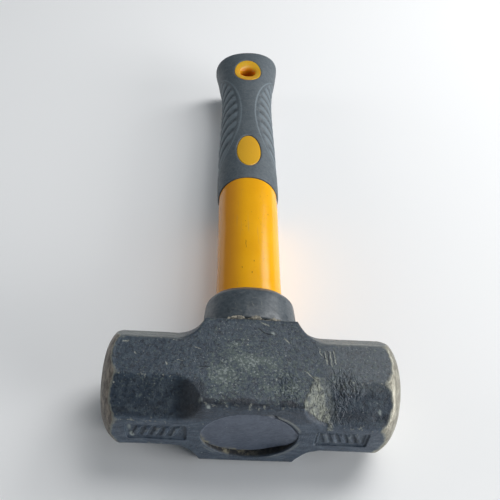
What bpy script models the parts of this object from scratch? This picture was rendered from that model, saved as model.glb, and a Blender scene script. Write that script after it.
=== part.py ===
"""Short-handled sledgehammer (drilling hammer), lying on one cheek of its head.

Row frame, in metres: the origin is the middle of the cheek the head rests on, +X runs along the
striking axis, +Y runs up the handle to the butt, +Z is up. Every sub-part is modelled about the
handle axis and hangs from one empty that lifts that axis to half the head's width.
"""

import math

import bmesh
import bpy

MM = 0.001
GAP = 0.3 * MM  # clearance between touching pieces

# Head, forged and octagonal
HEAD_LENGTH = 104.0 * MM
HEAD_ACROSS = 38.0 * MM  # across the flats
HALF = HEAD_ACROSS / 2
BLOCK_HALF = 16.6 * MM  # square middle block, half its length along X
SCOOP_RADIUS = 11.0 * MM  # where a corner facet runs out into the block
BLOCK_EDGE = 2.5 * MM  # forged rounding of the block's corners
RIM_START = 46.35 * MM  # where the turned, bare steel begins
FACE_FLAT = 9.0 * MM  # radius of the flat middle of a striking face
PANEL_X = (22.0 * MM, 37.0 * MM)  # sunken panels on the end facet
PANEL_HALF_HEIGHT = 4.3 * MM
PANEL_DEPTH = 0.7 * MM

# Eye through the head: (Y, half width along X, half height along Z)
EYE = [
    (-20.0 * MM, 17.05 * MM, 14.60 * MM),
    (-19.0 * MM, 16.85 * MM, 14.40 * MM),
    (-12.0 * MM, 15.60 * MM, 12.90 * MM),
    (-4.0 * MM, 15.00 * MM, 12.00 * MM),
    (6.0 * MM, 15.00 * MM, 12.00 * MM),
    (14.0 * MM, 15.30 * MM, 12.60 * MM),
    (20.0 * MM, 15.60 * MM, 13.10 * MM),
]
RESIN_FACE_Y = -17.45 * MM  # middle of the resin's open face
RESIN_TILT = 0.07  # the resin set out of level, deeper towards +X
FLANGE = (19.0 * MM, 16.7 * MM)  # resin squeezed out under the collar, half sizes

# Handle
CORE = (10.0 * MM, 8.0 * MM)  # half sizes of the glass-fibre rod
CORE_START = -14.0 * MM
CORE_END = 195.0 * MM
SHAFT = [  # jacket up to the grip: (Y, half width along X, half height along Z)
    (2.0 * MM, 13.1 * MM, 10.5 * MM),
    (3.0 * MM, 13.6 * MM, 11.0 * MM),
    (20.5 * MM, 13.6 * MM, 11.0 * MM),
    (24.0 * MM, 13.65 * MM, 11.7 * MM),
    (48.0 * MM, 13.65 * MM, 11.9 * MM),
    (80.0 * MM, 13.95 * MM, 12.1 * MM),
    (107.8 * MM, 14.3 * MM, 12.3 * MM),
]
ARCH = 3.6 * MM  # the grip's edge stands this much higher at the front and back
TANG = [  # jacket inside the grip
    (107.8 * MM, 13.0 * MM, 10.5 * MM),
    (130.0 * MM, 13.0 * MM, 10.5 * MM),
    (180.0 * MM, 13.0 * MM, 10.3 * MM),
    (234.0 * MM, 13.0 * MM, 10.2 * MM),
    (238.0 * MM, 11.8 * MM, 9.1 * MM),
]
GRIP_START = 108.1 * MM
GRIP = [  # outside of the soft grip: (Y, half width, half height, dip at top and bottom)
    (108.1 * MM, 14.70 * MM, 12.70 * MM, -ARCH),
    (108.7 * MM, 14.90 * MM, 12.95 * MM, -ARCH),
    (111.0 * MM, 15.10 * MM, 13.15 * MM, -ARCH),
    (119.0 * MM, 15.30 * MM, 13.30 * MM, -1.8 * MM),
    (131.0 * MM, 15.30 * MM, 13.35 * MM, 0.0),
    (145.0 * MM, 15.30 * MM, 13.35 * MM, 0.0),
    (158.0 * MM, 15.10 * MM, 13.30 * MM, 0.0),
    (171.0 * MM, 14.90 * MM, 13.25 * MM, 0.0),
    (184.0 * MM, 14.80 * MM, 13.20 * MM, 0.0),
    (195.0 * MM, 14.90 * MM, 13.20 * MM, 0.0),
    (205.0 * MM, 15.40 * MM, 13.30 * MM, 0.0),
    (213.0 * MM, 16.10 * MM, 13.40 * MM, 0.0),
    (221.0 * MM, 17.00 * MM, 13.50 * MM, 0.0),
    (229.0 * MM, 18.00 * MM, 13.60 * MM, 0.0),
    (236.0 * MM, 18.90 * MM, 13.65 * MM, 0.0),
    (241.0 * MM, 19.45 * MM, 13.60 * MM, 0.0),
    (243.2 * MM, 19.50 * MM, 13.40 * MM, 0.0),
    (244.6 * MM, 19.05 * MM, 12.85 * MM, 0.0),
    (245.3 * MM, 18.20 * MM, 11.90 * MM, 0.0),
    (245.5 * MM, 16.50 * MM, 10.20 * MM, 0.0),
]
COLLAR = [  # outside of the soft collar, in the same order
    (20.6 * MM, 18.40 * MM, 16.00 * MM, 0.0),
    (21.4 * MM, 18.80 * MM, 16.40 * MM, 0.0),
    (27.0 * MM, 18.65 * MM, 16.20 * MM, 0.2 * MM),
    (33.0 * MM, 18.35 * MM, 15.80 * MM, 0.7 * MM),
    (36.6 * MM, 18.00 * MM, 15.40 * MM, 1.4 * MM),
    (37.8 * MM, 17.50 * MM, 15.00 * MM, 1.7 * MM),
    (41.3 * MM, 14.90 * MM, 12.90 * MM, 2.3 * MM),
    (41.7 * MM, 14.45 * MM, 12.45 * MM, 2.4 * MM),
]
ROUND = 2.2  # superellipse power of the handle's sections
SEGMENTS = 56

# Yellow shapes of the jacket that reach the outside through the grip
PAD = (134.2 * MM, 6.15 * MM, 13.3 * MM)  # centre Y, half width, half length
EYELET = (219.5 * MM, 8.0 * MM, 13.1 * MM)
THROAT = (4.3 * MM, 4.7 * MM)  # clear opening of the hang hole, half sizes

# Ribbed side panels of the grip
RIB_FIRST = 122.5 * MM  # Y of the first groove on the side's midline
RIB_PITCH = 9.3 * MM
RIB_COUNT = 9
GROOVE_WIDTH = 3.6 * MM
GROOVE_DEPTH = 0.55 * MM
GROOVE_SLANT = 1.2  # rise along Y for each unit along Z
PANEL_MIDDLE = 171.0 * MM
PANEL_HALF_LENGTH = 49.0 * MM
PANEL_REACH = 12.8 * MM  # how far a middle groove runs round from the side, along Z


def clear_scene():
    for ob in list(bpy.data.objects):
        bpy.data.objects.remove(ob)


def material(name, colour, roughness, metallic=0.0):
    mat = bpy.data.materials.new(name)
    mat.use_nodes = True
    shader = mat.node_tree.nodes["Principled BSDF"]
    shader.inputs["Base Color"].default_value = (*colour, 1.0)
    shader.inputs["Roughness"].default_value = roughness
    shader.inputs["Metallic"].default_value = metallic
    return mat


def section(profile, y):
    """Half sizes of a profile at one Y, linear between its stations."""
    if y <= profile[0][0]:
        return profile[0][1:3]
    for low, high in zip(profile, profile[1:]):
        if y <= high[0] and high[0] > low[0]:
            t = (y - low[0]) / (high[0] - low[0])
            return tuple(low[k] + t * (high[k] - low[k]) for k in (1, 2))
    return profile[-1][1:3]


def oval(half_x, half_z, power, count=SEGMENTS):
    """Points (x, z) of a superellipse."""
    points = []
    for i in range(count):
        a = 2 * math.pi * i / count
        c = math.cos(a)
        s = math.sin(a)
        x = math.copysign(abs(c) ** (2 / power), c) * half_x
        z = math.copysign(abs(s) ** (2 / power), s) * half_z
        points.append((x, z))
    return points


def ring(y, half_x, half_z, dip=0.0, power=ROUND):
    """A section across the handle; dip moves its top and bottom towards the head."""
    return [
        (x, y - dip * (z / half_z) ** 2, z) for x, z in oval(half_x, half_z, power)
    ]


def rings(profile, grow=0.0):
    return [ring(p[0], p[1] + grow, p[2] + grow, *p[3:4]) for p in profile]


def new_object(name, mesh, parent, mat=None):
    for polygon in mesh.polygons:
        polygon.use_smooth = True
    mesh.set_sharp_from_angle(angle=math.radians(32))
    ob = bpy.data.objects.new(name, mesh)
    bpy.context.scene.collection.objects.link(ob)
    ob.parent = parent
    if mat is None:
        ob.hide_render = True
        ob.display_type = "WIRE"
    else:
        mesh.materials.append(mat)
    return ob


def finish(name, bm, parent, mat=None):
    bmesh.ops.recalc_face_normals(bm, faces=bm.faces)
    mesh = bpy.data.meshes.new(name)
    bm.to_mesh(mesh)
    bm.free()
    return new_object(name, mesh, parent, mat)


def add_loft(bm, loops, joined=False):
    """Skin a row of equal loops; capped at both ends, or joined end to start."""
    rows = [[bm.verts.new(p) for p in loop] for loop in loops]
    pairs = list(zip(rows, rows[1:]))
    if joined:
        pairs.append((rows[-1], rows[0]))
    for low, high in pairs:
        n = len(low)
        for i in range(n):
            j = (i + 1) % n
            bm.faces.new((low[i], low[j], high[j], high[i]))
    if not joined:
        bm.faces.new(rows[0])
        bm.faces.new(rows[-1])


def loft(name, loops, parent, mat=None, joined=False):
    bm = bmesh.new()
    add_loft(bm, loops, joined)
    return finish(name, bm, parent, mat)


def combine(ob, operation, other):
    mod = ob.modifiers.new(operation.title(), "BOOLEAN")
    mod.operation = operation
    mod.solver = "EXACT"
    mod.object = other


def head_stock(parent, mat):
    """Square bar along X with the forged rounding on its long edges."""
    inner = HALF - BLOCK_EDGE
    outline = []
    for quarter in range(4):
        for step in range(6):
            a = math.radians(90 * quarter + 18 * step)
            cy = inner if quarter in (0, 3) else -inner
            cz = inner if quarter in (0, 1) else -inner
            outline.append(
                (cy + BLOCK_EDGE * math.cos(a), cz + BLOCK_EDGE * math.sin(a))
            )
    ends = (-HEAD_LENGTH / 2 - MM, HEAD_LENGTH / 2 + MM)
    return loft("head", [[(x, y, z) for y, z in outline] for x in ends], parent, mat)


def corner_cutters(parent):
    """Eight prisms that take the corners off both polls and scoop out at the block."""
    depth = HALF * math.sqrt(2)
    sweep = math.acos(1 - (depth - HALF) / SCOOP_RADIUS)
    start = BLOCK_HALF + SCOOP_RADIUS * math.sin(sweep)
    profile = []
    for step in range(11):
        a = sweep * 1.12 * (1 - step / 10)
        x = start - SCOOP_RADIUS * math.sin(a)
        profile.append((x, HALF + SCOOP_RADIUS * (1 - math.cos(a))))
    far = HEAD_LENGTH / 2 + 3 * MM
    top = depth + 3 * MM
    profile += [(far, HALF), (far, top), (profile[0][0], top)]
    bm = bmesh.new()
    for side in (-1, 1):
        for quarter in range(4):
            a = math.radians(45 + 90 * quarter)
            loops = []
            for t in (-9 * MM, 9 * MM):
                loops.append(
                    [
                        (
                            side * x,
                            n * math.cos(a) - t * math.sin(a),
                            n * math.sin(a) + t * math.cos(a),
                        )
                        for x, n in profile
                    ]
                )
            add_loft(bm, loops)
    return finish("cut_corners", bm, parent)


def turned_form(parent):
    """Body of revolution about X whose ends are the crowned, bevelled striking faces."""
    end = HEAD_LENGTH / 2
    profile = [
        (end, FACE_FLAT),
        (end - 0.25 * MM, 11.6 * MM),
        (end - 0.80 * MM, 14.0 * MM),
        (end - 1.75 * MM, 16.2 * MM),
        (end - 3.20 * MM, 18.3 * MM),
        (end - 5.65 * MM, 20.4 * MM),
        (end - 8.50 * MM, 22.0 * MM),
        (end - 12.0 * MM, 29.0 * MM),
    ]
    stations = [(-x, r) for x, r in profile] + profile[::-1]
    loops = []
    for x, r in stations:
        turn = [2 * math.pi * (i + 0.5) / 80 for i in range(80)]
        loops.append([(x, r * math.cos(a), r * math.sin(a)) for a in turn])
    return loft("form_turned", loops, parent)


def eye_form(parent):
    loops = [[(x, y, z) for x, z in oval(hx, hz, 2.0)] for y, hx, hz in EYE]
    return loft("cut_eye", loops, parent)


def panel_cutters(parent):
    """Sunken rectangles either side of the eye's mouth, each leaving raised bars."""
    bars = 4
    bm = bmesh.new()
    low = -HALF - MM
    high = -HALF + PANEL_DEPTH
    for side in (-1, 1):
        near, far = PANEL_X
        pitch = (far - near) / bars
        for k in range(bars):
            x0 = side * (near + k * pitch)
            x1 = side * (near + (k + 0.72) * pitch)
            h = PANEL_HALF_HEIGHT
            loops = [
                [(x0, y, -h), (x1, y, -h), (x1, y, h), (x0, y, h)] for y in (low, high)
            ]
            add_loft(bm, loops)
    return finish("cut_panels", bm, parent)


def resin(parent, mat):
    """Potting in the eye: a plug round the rod, out to a thin flange under the collar."""
    core = [c + GAP for c in CORE]
    spigot_y = SHAFT[0][0] - GAP
    top = HALF + GAP + 0.7 * MM
    shaft = [s + GAP for s in section(SHAFT, HALF)]
    loops = [
        ring(CORE_START - GAP, *core, power=2.0),
        ring(spigot_y, *core, power=2.0),
        ring(spigot_y, *shaft),
        ring(top, *shaft),
        ring(top, *FLANGE),
        ring(HALF + GAP, *FLANGE),
    ]
    for y in (HALF + GAP, 14 * MM, 6 * MM, -4 * MM, -12 * MM):
        hx, hz = section(EYE, y)
        loops.append(ring(y, hx - GAP, hz - GAP, power=2.0))
    face = []
    for x, z in oval(1.0, 1.0, 2.0):
        y = RESIN_FACE_Y
        for _ in range(8):
            hx, hz = section(EYE, y)
            y = RESIN_FACE_Y + RESIN_TILT * x * (hx - GAP)
        face.append((x * (hx - GAP), y, z * (hz - GAP)))
    loops.append(face)
    return loft("eye_resin", loops, parent, mat)


def core_rod(parent, mat):
    edge = 0.8 * MM
    hx, hz = CORE
    loops = [
        ring(CORE_START, hx - edge, hz - edge, power=2.0),
        ring(CORE_START + edge, hx, hz, power=2.0),
        ring(CORE_END - edge, hx, hz, power=2.0),
        ring(CORE_END, hx - edge, hz - edge, power=2.0),
    ]
    return loft("core_rod", loops, parent, mat)


def upright(centre_y, half_x, half_y, z, power=2.0, count=40):
    """A loop across the handle's thickness, for shapes that run along Z."""
    return [(x, centre_y + y, z) for x, y in oval(half_x, half_y, power, count)]


def window_forms(name, parent, grow):
    """The pad and the eyelet as two uprights right through the grip."""
    bm = bmesh.new()
    for centre, hx, hy in (PAD, EYELET):
        loops = [upright(centre, hx + grow, hy + grow, z) for z in (-HALF, HALF)]
        add_loft(bm, loops)
    return finish(name, bm, parent)


def hang_hole(parent):
    """Shallow dishes on both sides round the throat."""
    centre, hx, hy = EYELET
    tx, ty = THROAT
    half = section(GRIP, centre)[1]
    side = [
        (1.5 * MM, 0.00),
        (half - 3.0 * MM, 0.00),
        (half - 2.1 * MM, 0.05),
        (half - 1.6 * MM, 0.20),
        (half - 1.1 * MM, 0.55),
        (half - 0.6 * MM, 0.85),
        (half + 0.1 * MM, 0.97),
        (half + 3.0 * MM, 1.00),
    ]
    stations = [(-z, w) for z, w in side[::-1]] + side
    loops = []
    for z, w in stations:
        loops.append(
            upright(centre, tx + w * (hx - tx), ty + w * (hy - ty), z, count=46)
        )
    return loft("cut_hang_hole", loops, parent)


def rod_bore(parent):
    core = [c + GAP for c in CORE]
    loops = [ring(y, *core, power=2.0) for y in (SHAFT[0][0] - MM, CORE_END + GAP)]
    return loft("cut_bore", loops, parent)


def jacket(parent, mat):
    """Shaft and tang, with an arched step between them for the grip's edge."""
    step = [ring(*p, -ARCH) for p in (SHAFT[-1], TANG[0])]
    return loft("handle_jacket", rings(SHAFT[:-1]) + step + rings(TANG[1:]), parent, mat)


def grip_form(name, parent, grow=0.0):
    """The grip's outside as a solid, carried down to a flat end."""
    flat = ring(GRIP_START - 6 * MM, GRIP[0][1] + grow, GRIP[0][2] + grow)
    return loft(name, [flat] + rings(GRIP, grow), parent)


def rib_grooves(parent, skin):
    """Slanted slabs down both sides of the grip, kept to a thin layer under its skin."""
    bm = bmesh.new()
    for side in (-1, 1):
        for k in range(RIB_COUNT):
            y0 = RIB_FIRST + k * RIB_PITCH
            reach = PANEL_REACH
            for _ in range(6):
                t = (y0 + reach * GROOVE_SLANT - PANEL_MIDDLE) / PANEL_HALF_LENGTH
                reach = PANEL_REACH * max(0.2, 1 - t * t) ** 0.6
            for face in (-1, 1):
                loops = []
                for z in (1.4 * MM, reach):
                    y = y0 + z * GROOVE_SLANT
                    half = GROOVE_WIDTH / 2
                    x0 = side * 6.0 * MM
                    x1 = side * 24.0 * MM
                    loops.append(
                        [
                            (x0, y - half, face * z),
                            (x1, y - half, face * z),
                            (x1, y + half, face * z),
                            (x0, y + half, face * z),
                        ]
                    )
                add_loft(bm, loops)
    slabs = finish("cut_grooves", bm, parent)
    combine(slabs, "DIFFERENCE", skin)
    return slabs


def grip(parent, mat):
    bore = [(GRIP_START, TANG[0][1], TANG[0][2], -ARCH)] + TANG[1:-1]
    end = TANG[-1]
    loops = [ring(end[0] + GAP, end[1] + GAP, end[2] + GAP)]
    loops += rings(bore, GAP)[::-1]
    return loft("grip", loops + rings(GRIP), parent, mat)


def collar(parent, mat):
    outer = rings(COLLAR)
    inner = []
    for y, dip in ((COLLAR[-1][0], COLLAR[-1][3]), (24 * MM, 0.0), (COLLAR[0][0], 0.0)):
        hx, hz = section(SHAFT, y)
        inner.append(ring(y, hx + GAP, hz + GAP, dip))
    return loft("collar", outer + inner, parent, mat, joined=True)


def build():
    clear_scene()
    axis = bpy.data.objects.new("handle_axis", None)
    bpy.context.scene.collection.objects.link(axis)
    axis.location = (0.0, 0.0, HALF)

    paint = material("dark_paint", (0.045, 0.062, 0.075), 0.55)
    epoxy = material("dark_epoxy", (0.055, 0.068, 0.095), 0.35)
    glass = material("glass_fibre", (0.55, 0.48, 0.30), 0.60)
    yellow = material("yellow_plastic", (0.68, 0.33, 0.020), 0.30)
    soft = material("grey_soft_plastic", (0.080, 0.100, 0.115), 0.65)

    head = head_stock(axis, paint)
    combine(head, "DIFFERENCE", corner_cutters(axis))
    combine(head, "INTERSECT", turned_form(axis))
    combine(head, "DIFFERENCE", eye_form(axis))
    combine(head, "DIFFERENCE", panel_cutters(axis))

    resin(axis, epoxy)
    core_rod(axis, glass)

    windows = window_forms("form_windows", axis, 0.0)
    combine(windows, "INTERSECT", grip_form("form_grip", axis))
    body = jacket(axis, yellow)
    combine(body, "UNION", windows)
    combine(body, "DIFFERENCE", rod_bore(axis))
    combine(body, "DIFFERENCE", hang_hole(axis))

    cover = grip(axis, soft)
    combine(cover, "DIFFERENCE", window_forms("cut_windows", axis, GAP))
    skin = grip_form("form_skin", axis, -GROOVE_DEPTH)
    combine(cover, "DIFFERENCE", rib_grooves(axis, skin))

    collar(axis, soft)


build()
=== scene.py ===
"""Looks of the short-handled sledgehammer: every visible piece is built here in fine mesh
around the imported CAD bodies, with procedural materials, a pale floor, soft lights and a camera.

Lengths are in millimetres about the handle's axis until place() turns them into the row frame.
"""

import math

import bpy
import numpy as np
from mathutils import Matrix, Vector


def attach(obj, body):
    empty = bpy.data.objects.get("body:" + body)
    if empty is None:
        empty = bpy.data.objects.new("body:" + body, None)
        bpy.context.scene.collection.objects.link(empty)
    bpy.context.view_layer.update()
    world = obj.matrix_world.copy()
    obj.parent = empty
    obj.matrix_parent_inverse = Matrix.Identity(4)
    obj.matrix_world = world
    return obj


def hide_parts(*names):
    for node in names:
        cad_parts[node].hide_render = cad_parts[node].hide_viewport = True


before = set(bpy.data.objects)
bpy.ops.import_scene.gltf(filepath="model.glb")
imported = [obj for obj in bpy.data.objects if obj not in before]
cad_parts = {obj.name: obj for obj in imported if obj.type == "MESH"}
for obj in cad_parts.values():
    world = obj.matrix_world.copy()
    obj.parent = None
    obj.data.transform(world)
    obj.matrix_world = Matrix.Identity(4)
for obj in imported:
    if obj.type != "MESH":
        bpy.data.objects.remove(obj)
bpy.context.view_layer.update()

AXIS_HEIGHT = 19.0  # of the handle's axis over the floor
MM = 0.001  # metres

# ------------------------ design, as in the CAD


def table(*rows):
    return np.array(rows)


HALF = 19.0  # half the head's square section
HALF_LENGTH = 52.0  # of the head
BLOCK_HALF = 16.6  # half the block round the eye
SCOOP = 11.0  # radius of the scoops beside the block
HEAD_SIDES = 288
EYE_GAP = 0.08  # between the potting and the eye
EYE = table(  # (Y, half width, half height)
    (-20.0, 17.5, 15.05),
    (-19.0, 17.05, 14.60),
    (-18.4, 16.75, 14.30),
    (-12.0, 15.60, 12.90),
    (-4.0, 15.00, 12.00),
    (6.0, 15.00, 12.00),
    (14.0, 15.30, 12.60),
    (20.0, 15.60, 13.10),
)
FACE = table(  # turned face: (distance in from the end, radius)
    (0.0, 9.0),
    (0.25, 11.6),
    (0.80, 14.0),
    (1.75, 16.2),
    (3.20, 18.3),
    (5.65, 20.4),
    (8.50, 22.0),
    (12.0, 29.0),
    (13.0, 32.0),
)
SHAFT = table(  # (Y, half width, half height)
    (20.6, 13.60, 11.0),
    (24.0, 13.65, 11.7),
    (48.0, 13.65, 11.9),
    (80.0, 13.95, 12.1),
    (105.0, 14.30, 12.3),
    (113.0, 14.30, 12.3),
)
ARCH = 3.6  # rise of the arch in the grip's lower edge
GRIP = table(  # (Y, half width, half height, dip of the top and bottom)
    (108.1, 14.50, 12.45, -ARCH),
    (108.1, 14.68, 12.65, -ARCH),
    (108.5, 14.86, 12.85, -ARCH),
    (111.0, 15.05, 13.10, -ARCH),
    (119.0, 15.25, 13.30, -1.8),
    (131.0, 15.30, 13.35, 0.0),
    (145.0, 15.30, 13.35, 0.0),
    (158.0, 15.10, 13.30, 0.0),
    (171.0, 14.90, 13.25, 0.0),
    (184.0, 14.80, 13.20, 0.0),
    (195.0, 14.90, 13.20, 0.0),
    (205.0, 15.40, 13.30, 0.0),
    (213.0, 16.10, 13.40, 0.0),
    (221.0, 17.00, 13.50, 0.0),
    (229.0, 18.00, 13.60, 0.0),
    (236.0, 18.90, 13.65, 0.0),
    (241.0, 19.45, 13.60, 0.0),
    (243.2, 19.50, 13.40, 0.0),
    (244.6, 19.05, 12.85, 0.0),
    (245.3, 18.20, 11.90, 0.0),
    (245.5, 16.50, 10.20, 0.0),
)
COLLAR = table(  # as GRIP
    (20.5, 18.05, 15.70, 0.0),
    (20.9, 18.60, 16.20, 0.0),
    (21.8, 18.80, 16.40, 0.0),
    (27.0, 18.65, 16.20, 0.2),
    (33.0, 18.35, 15.80, 0.7),
    (36.6, 18.00, 15.40, 1.4),
    (37.8, 17.50, 15.00, 1.7),
    (39.6, 16.10, 13.95, 2.0),
    (41.3, 14.80, 12.80, 2.3),
    (41.7, 14.35, 12.35, 2.4),
    (41.5, 14.00, 12.00, 2.4),
)
GRIP_GRID = (300, 240)  # rings, points round each
POWER = 2.2  # of the superellipse that the handle's sections follow
PAD = (134.2, 6.15, 13.3)  # (Y, half width, half length) of the oval pads
EYELET = (219.8, 8.0, 12.4)  # as PAD, of the hang hole's lining
THROAT = (4.2, 4.2)  # half axes of the hang hole
PANELS = ((-31.9, 10.4, 4.6, 0.55), (31.9, 9.1, 4.4, 0.55))  # (X, half sizes, Z)
BARS = (-0.62, -0.31, 0.0, 0.31, 0.62)  # in each panel, as a share of its half width
RIB_MIDDLE = 171.0  # Y of the ribbed fields' middle
RIB_FIRST = 131.5  # Y of the lowest groove
RIB_PITCH = 9.35
RIB_LAST = 8  # number of the last groove, from 0

# ------------------------ numbers and noise


def ease(low, high, value):
    t = np.clip((value - low) / (high - low), 0.0, 1.0)
    return t * t * (3 - 2 * t)


def lattice(i, seed):
    n = i[..., 0] * 73856093 ^ i[..., 1] * 19349663 ^ i[..., 2] * 83492791
    n = (n ^ (seed * 6542989)) & 0xFFFFFFFF
    n = ((n ^ (n >> 15)) * 2246822519) & 0xFFFFFFFF
    n = ((n ^ (n >> 13)) * 3266489917) & 0xFFFFFFFF
    return ((n ^ (n >> 16)) & 0xFFFF) / 32767.5 - 1.0


def noise(p, cell, seed):
    """Smooth value noise in -1..1 at points p, with features of one cell."""
    q = np.asarray(p, float) / cell + 0.37 * seed
    base = np.floor(q).astype(np.int64)
    f = q - base
    f = f * f * f * (f * (f * 6 - 15) + 10)
    total = 0.0
    for corner in range(8):
        off = np.array([corner & 1, corner >> 1 & 1, corner >> 2 & 1])
        w = np.prod(np.where(off == 1, f, 1 - f), axis=-1)
        total = total + w * lattice(base + off, seed)
    return total


def fractal(p, cell, seed, octaves=4, gain=0.5):
    total, size = 0.0, 1.0
    for k in range(octaves):
        total = total + size * noise(p, cell / 2**k, seed + 11 * k)
        size *= gain
    return total


def smooth_curve(xs, ys, x):
    """Monotone cubic through the stations, so that a profile has no kinks."""
    h = np.diff(xs)
    d = np.diff(ys) / h
    m = np.zeros(len(xs))
    for k in range(1, len(xs) - 1):
        if d[k - 1] * d[k] > 0:
            w1, w2 = 2 * h[k] + h[k - 1], h[k] + 2 * h[k - 1]
            m[k] = (w1 + w2) / (w1 / d[k - 1] + w2 / d[k])
    m[0], m[-1] = d[0], d[-1]
    k = np.clip(np.searchsorted(xs, x) - 1, 0, len(h) - 1)
    t = (x - xs[k]) / h[k]
    a, b = 2 * t**3 - 3 * t**2 + 1, t**3 - 2 * t**2 + t
    c, e = -2 * t**3 + 3 * t**2, t**3 - t**2
    return a * ys[k] + b * h[k] * m[k] + c * ys[k + 1] + e * h[k] * m[k + 1]


# ------------------------ meshes


def drift(points):
    """The handle's mouldings sit slightly to one side of the head's middle."""
    p = np.array(points, float).reshape(-1, 3)
    y = p[:, 1]
    p[:, 0] += np.interp(y, [20, 42, 46, 106, 122, 140], [0.6, 0.6, 0.37, 0.37, 0.15, 0.0])
    p[:, 1] += (0.13 * p[:, 0] - 1.7) * ease(222.0, 246.0, y)
    return p


def place(points):
    p = np.asarray(points, float).reshape(-1, 3) + (0.0, 0.0, AXIS_HEIGHT)
    return p * MM


def add_object(name, data):
    ob = bpy.data.objects.new(name, data)
    bpy.context.scene.collection.objects.link(ob)
    return ob


def mesh_object(name, points, faces):
    mesh = bpy.data.meshes.new(name)
    mesh.from_pydata(place(points).tolist(), [], faces)
    mesh.shade_smooth()
    return add_object(name, mesh)


def skin(rows, joined=False):
    """Points and faces of a grid of rows x columns, closed around the columns and facing out.
    The ends are closed by fans, or joined to each other."""
    n, m = rows.shape[:2]
    index = np.arange(n * m).reshape(n, m)
    top = index if joined else index[:-1]
    nxt = np.roll(index, -1, axis=0) if joined else index[1:]
    a, b = top, np.roll(top, -1, axis=1)
    c, d = np.roll(nxt, -1, axis=1), nxt
    quads = np.stack([a, b, c, d], -1).reshape(-1, 4)
    points = rows.reshape(-1, 3)
    fans = np.zeros((0, 3), int)
    if not joined:
        points = np.vstack([points, rows[0].mean(0), rows[-1].mean(0)])
        first, last = index[0], index[-1]
        fans = np.concatenate(
            [
                np.stack([np.roll(first, -1), first, 0 * first + n * m], -1),
                np.stack([last, np.roll(last, -1), 0 * last + n * m + 1], -1),
            ]
        )
    thirds = np.concatenate([quads[:, :3], quads[:, [0, 2, 3]], fans])
    p, q, r = (points[thirds[:, k]] for k in range(3))
    if (p * np.cross(q, r)).sum() < 0:
        quads, fans = quads[:, ::-1], fans[:, ::-1]
    return points, quads.tolist() + fans.tolist()


def solid(name, rows, joined=False):
    points, faces = skin(np.asarray(rows, float), joined)
    return mesh_object(name, points, faces)


def carve(ob, cutters):
    """Cuts ob with each cutter and leaves the result as plain mesh."""
    for cutter in cutters:
        mod = ob.modifiers.new("cut", "BOOLEAN")
        mod.operation = "DIFFERENCE"
        mod.object = cutter
        mod.solver = "MANIFOLD"
    graph = bpy.context.evaluated_depsgraph_get()
    cut = bpy.data.meshes.new_from_object(ob.evaluated_get(graph), depsgraph=graph)
    ob.modifiers.clear()
    ob.data = cut
    for cutter in cutters:
        bpy.data.objects.remove(cutter)
    cut.shade_smooth()
    return ob


def coordinates(ob):
    """Vertices of ob in millimetres about the handle's axis."""
    co = np.zeros(len(ob.data.vertices) * 3)
    ob.data.vertices.foreach_get("co", co)
    return co.reshape(-1, 3) / MM - (0.0, 0.0, AXIS_HEIGHT)


def paint(ob, name, values):
    layer = ob.data.attributes.new(name, "FLOAT", "POINT")
    layer.data.foreach_set("value", np.asarray(values, np.float32))


def around(count):
    """Equal angles round a full turn."""
    return 2 * np.pi * np.arange(count) / count


def oval(angle):
    """Superellipse of half axes 1 and 1."""
    c, s = np.cos(angle), np.sin(angle)
    x = np.sign(c) * np.abs(c) ** (2 / POWER)
    z = np.sign(s) * np.abs(s) ** (2 / POWER)
    return x, z


def loft_rows(profile, stations, count):
    """Rings along a profile of (Y, half width, half height, dip), spaced by length."""
    steps = np.hypot(np.diff(profile[:, 0]), np.diff(profile[:, 1]))
    t = np.concatenate([[0], np.cumsum(np.maximum(steps, 1e-3))])
    at = np.interp(np.linspace(0, 1, stations), np.linspace(0, 1, len(t)), t)
    at = np.linspace(0, t[-1], stations) if stations > 3 * len(t) else at
    at = np.unique(np.concatenate([at, t]))
    cols = [smooth_curve(t, profile[:, k], at)[:, None] for k in range(profile.shape[1])]
    ox, oz = oval(around(count))
    y, hx, hz = cols[:3]
    dip = cols[3] if len(cols) > 3 else 0.0
    return np.stack([hx * ox, y - dip * oz**2 + 0 * ox, hz * oz], -1)


# ------------------------ head


def eye_section(y):
    """Half width and half height of the eye at y."""
    y = np.clip(y, EYE[0, 0], EYE[-1, 0])
    return smooth_curve(EYE[:, 0], EYE[:, 1], y), smooth_curve(EYE[:, 0], EYE[:, 2], y)


def soft_max(a, b, k):
    h = np.maximum(k - np.abs(a - b), 0.0) / k
    return np.maximum(a, b) + h * h * k / 4


def corner_distance(x):
    """Distance of the corner facets from the axis: flat on the polls, scooped at the block."""
    full = HALF * math.sqrt(2)
    sweep = math.acos(1 - (full - HALF) / SCOOP)
    start = BLOCK_HALF + SCOOP * math.sin(sweep)
    away = np.clip(start - np.abs(x), 0.0, SCOOP * 0.985)
    return HALF + SCOOP - np.sqrt(SCOOP**2 - away**2)


def forged_radius(x, phi):
    """Radius of the forging before turning, in the direction phi from +Y towards +Z."""
    fold = np.abs((phi + np.pi / 4) % (np.pi / 2) - np.pi / 4)
    d = corner_distance(x)
    low, high = np.full(x.shape, 12.0), np.full(x.shape, 30.0)
    for _ in range(30):
        r = (low + high) / 2
        square = soft_max(r * np.cos(fold) - HALF, r * np.sin(fold) - HALF, 3.2)
        f = soft_max(square, r * np.cos(np.pi / 4 - fold) - d, 0.9)
        low, high = np.where(f < 0, r, low), np.where(f < 0, high, r)
    return low


def turned_radius(x, phi):
    """Radius of the turned face and its bevel, cut a little off the head's own axis."""
    depth = np.clip(HALF_LENGTH - np.abs(x), 0, 13)
    radius = smooth_curve(FACE[:, 0], FACE[:, 1], depth)
    off = 0.75 * np.minimum(radius / 16.0, 1.0)
    return off * np.cos(phi) + np.sqrt(radius**2 - (off * np.sin(phi)) ** 2)


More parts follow.
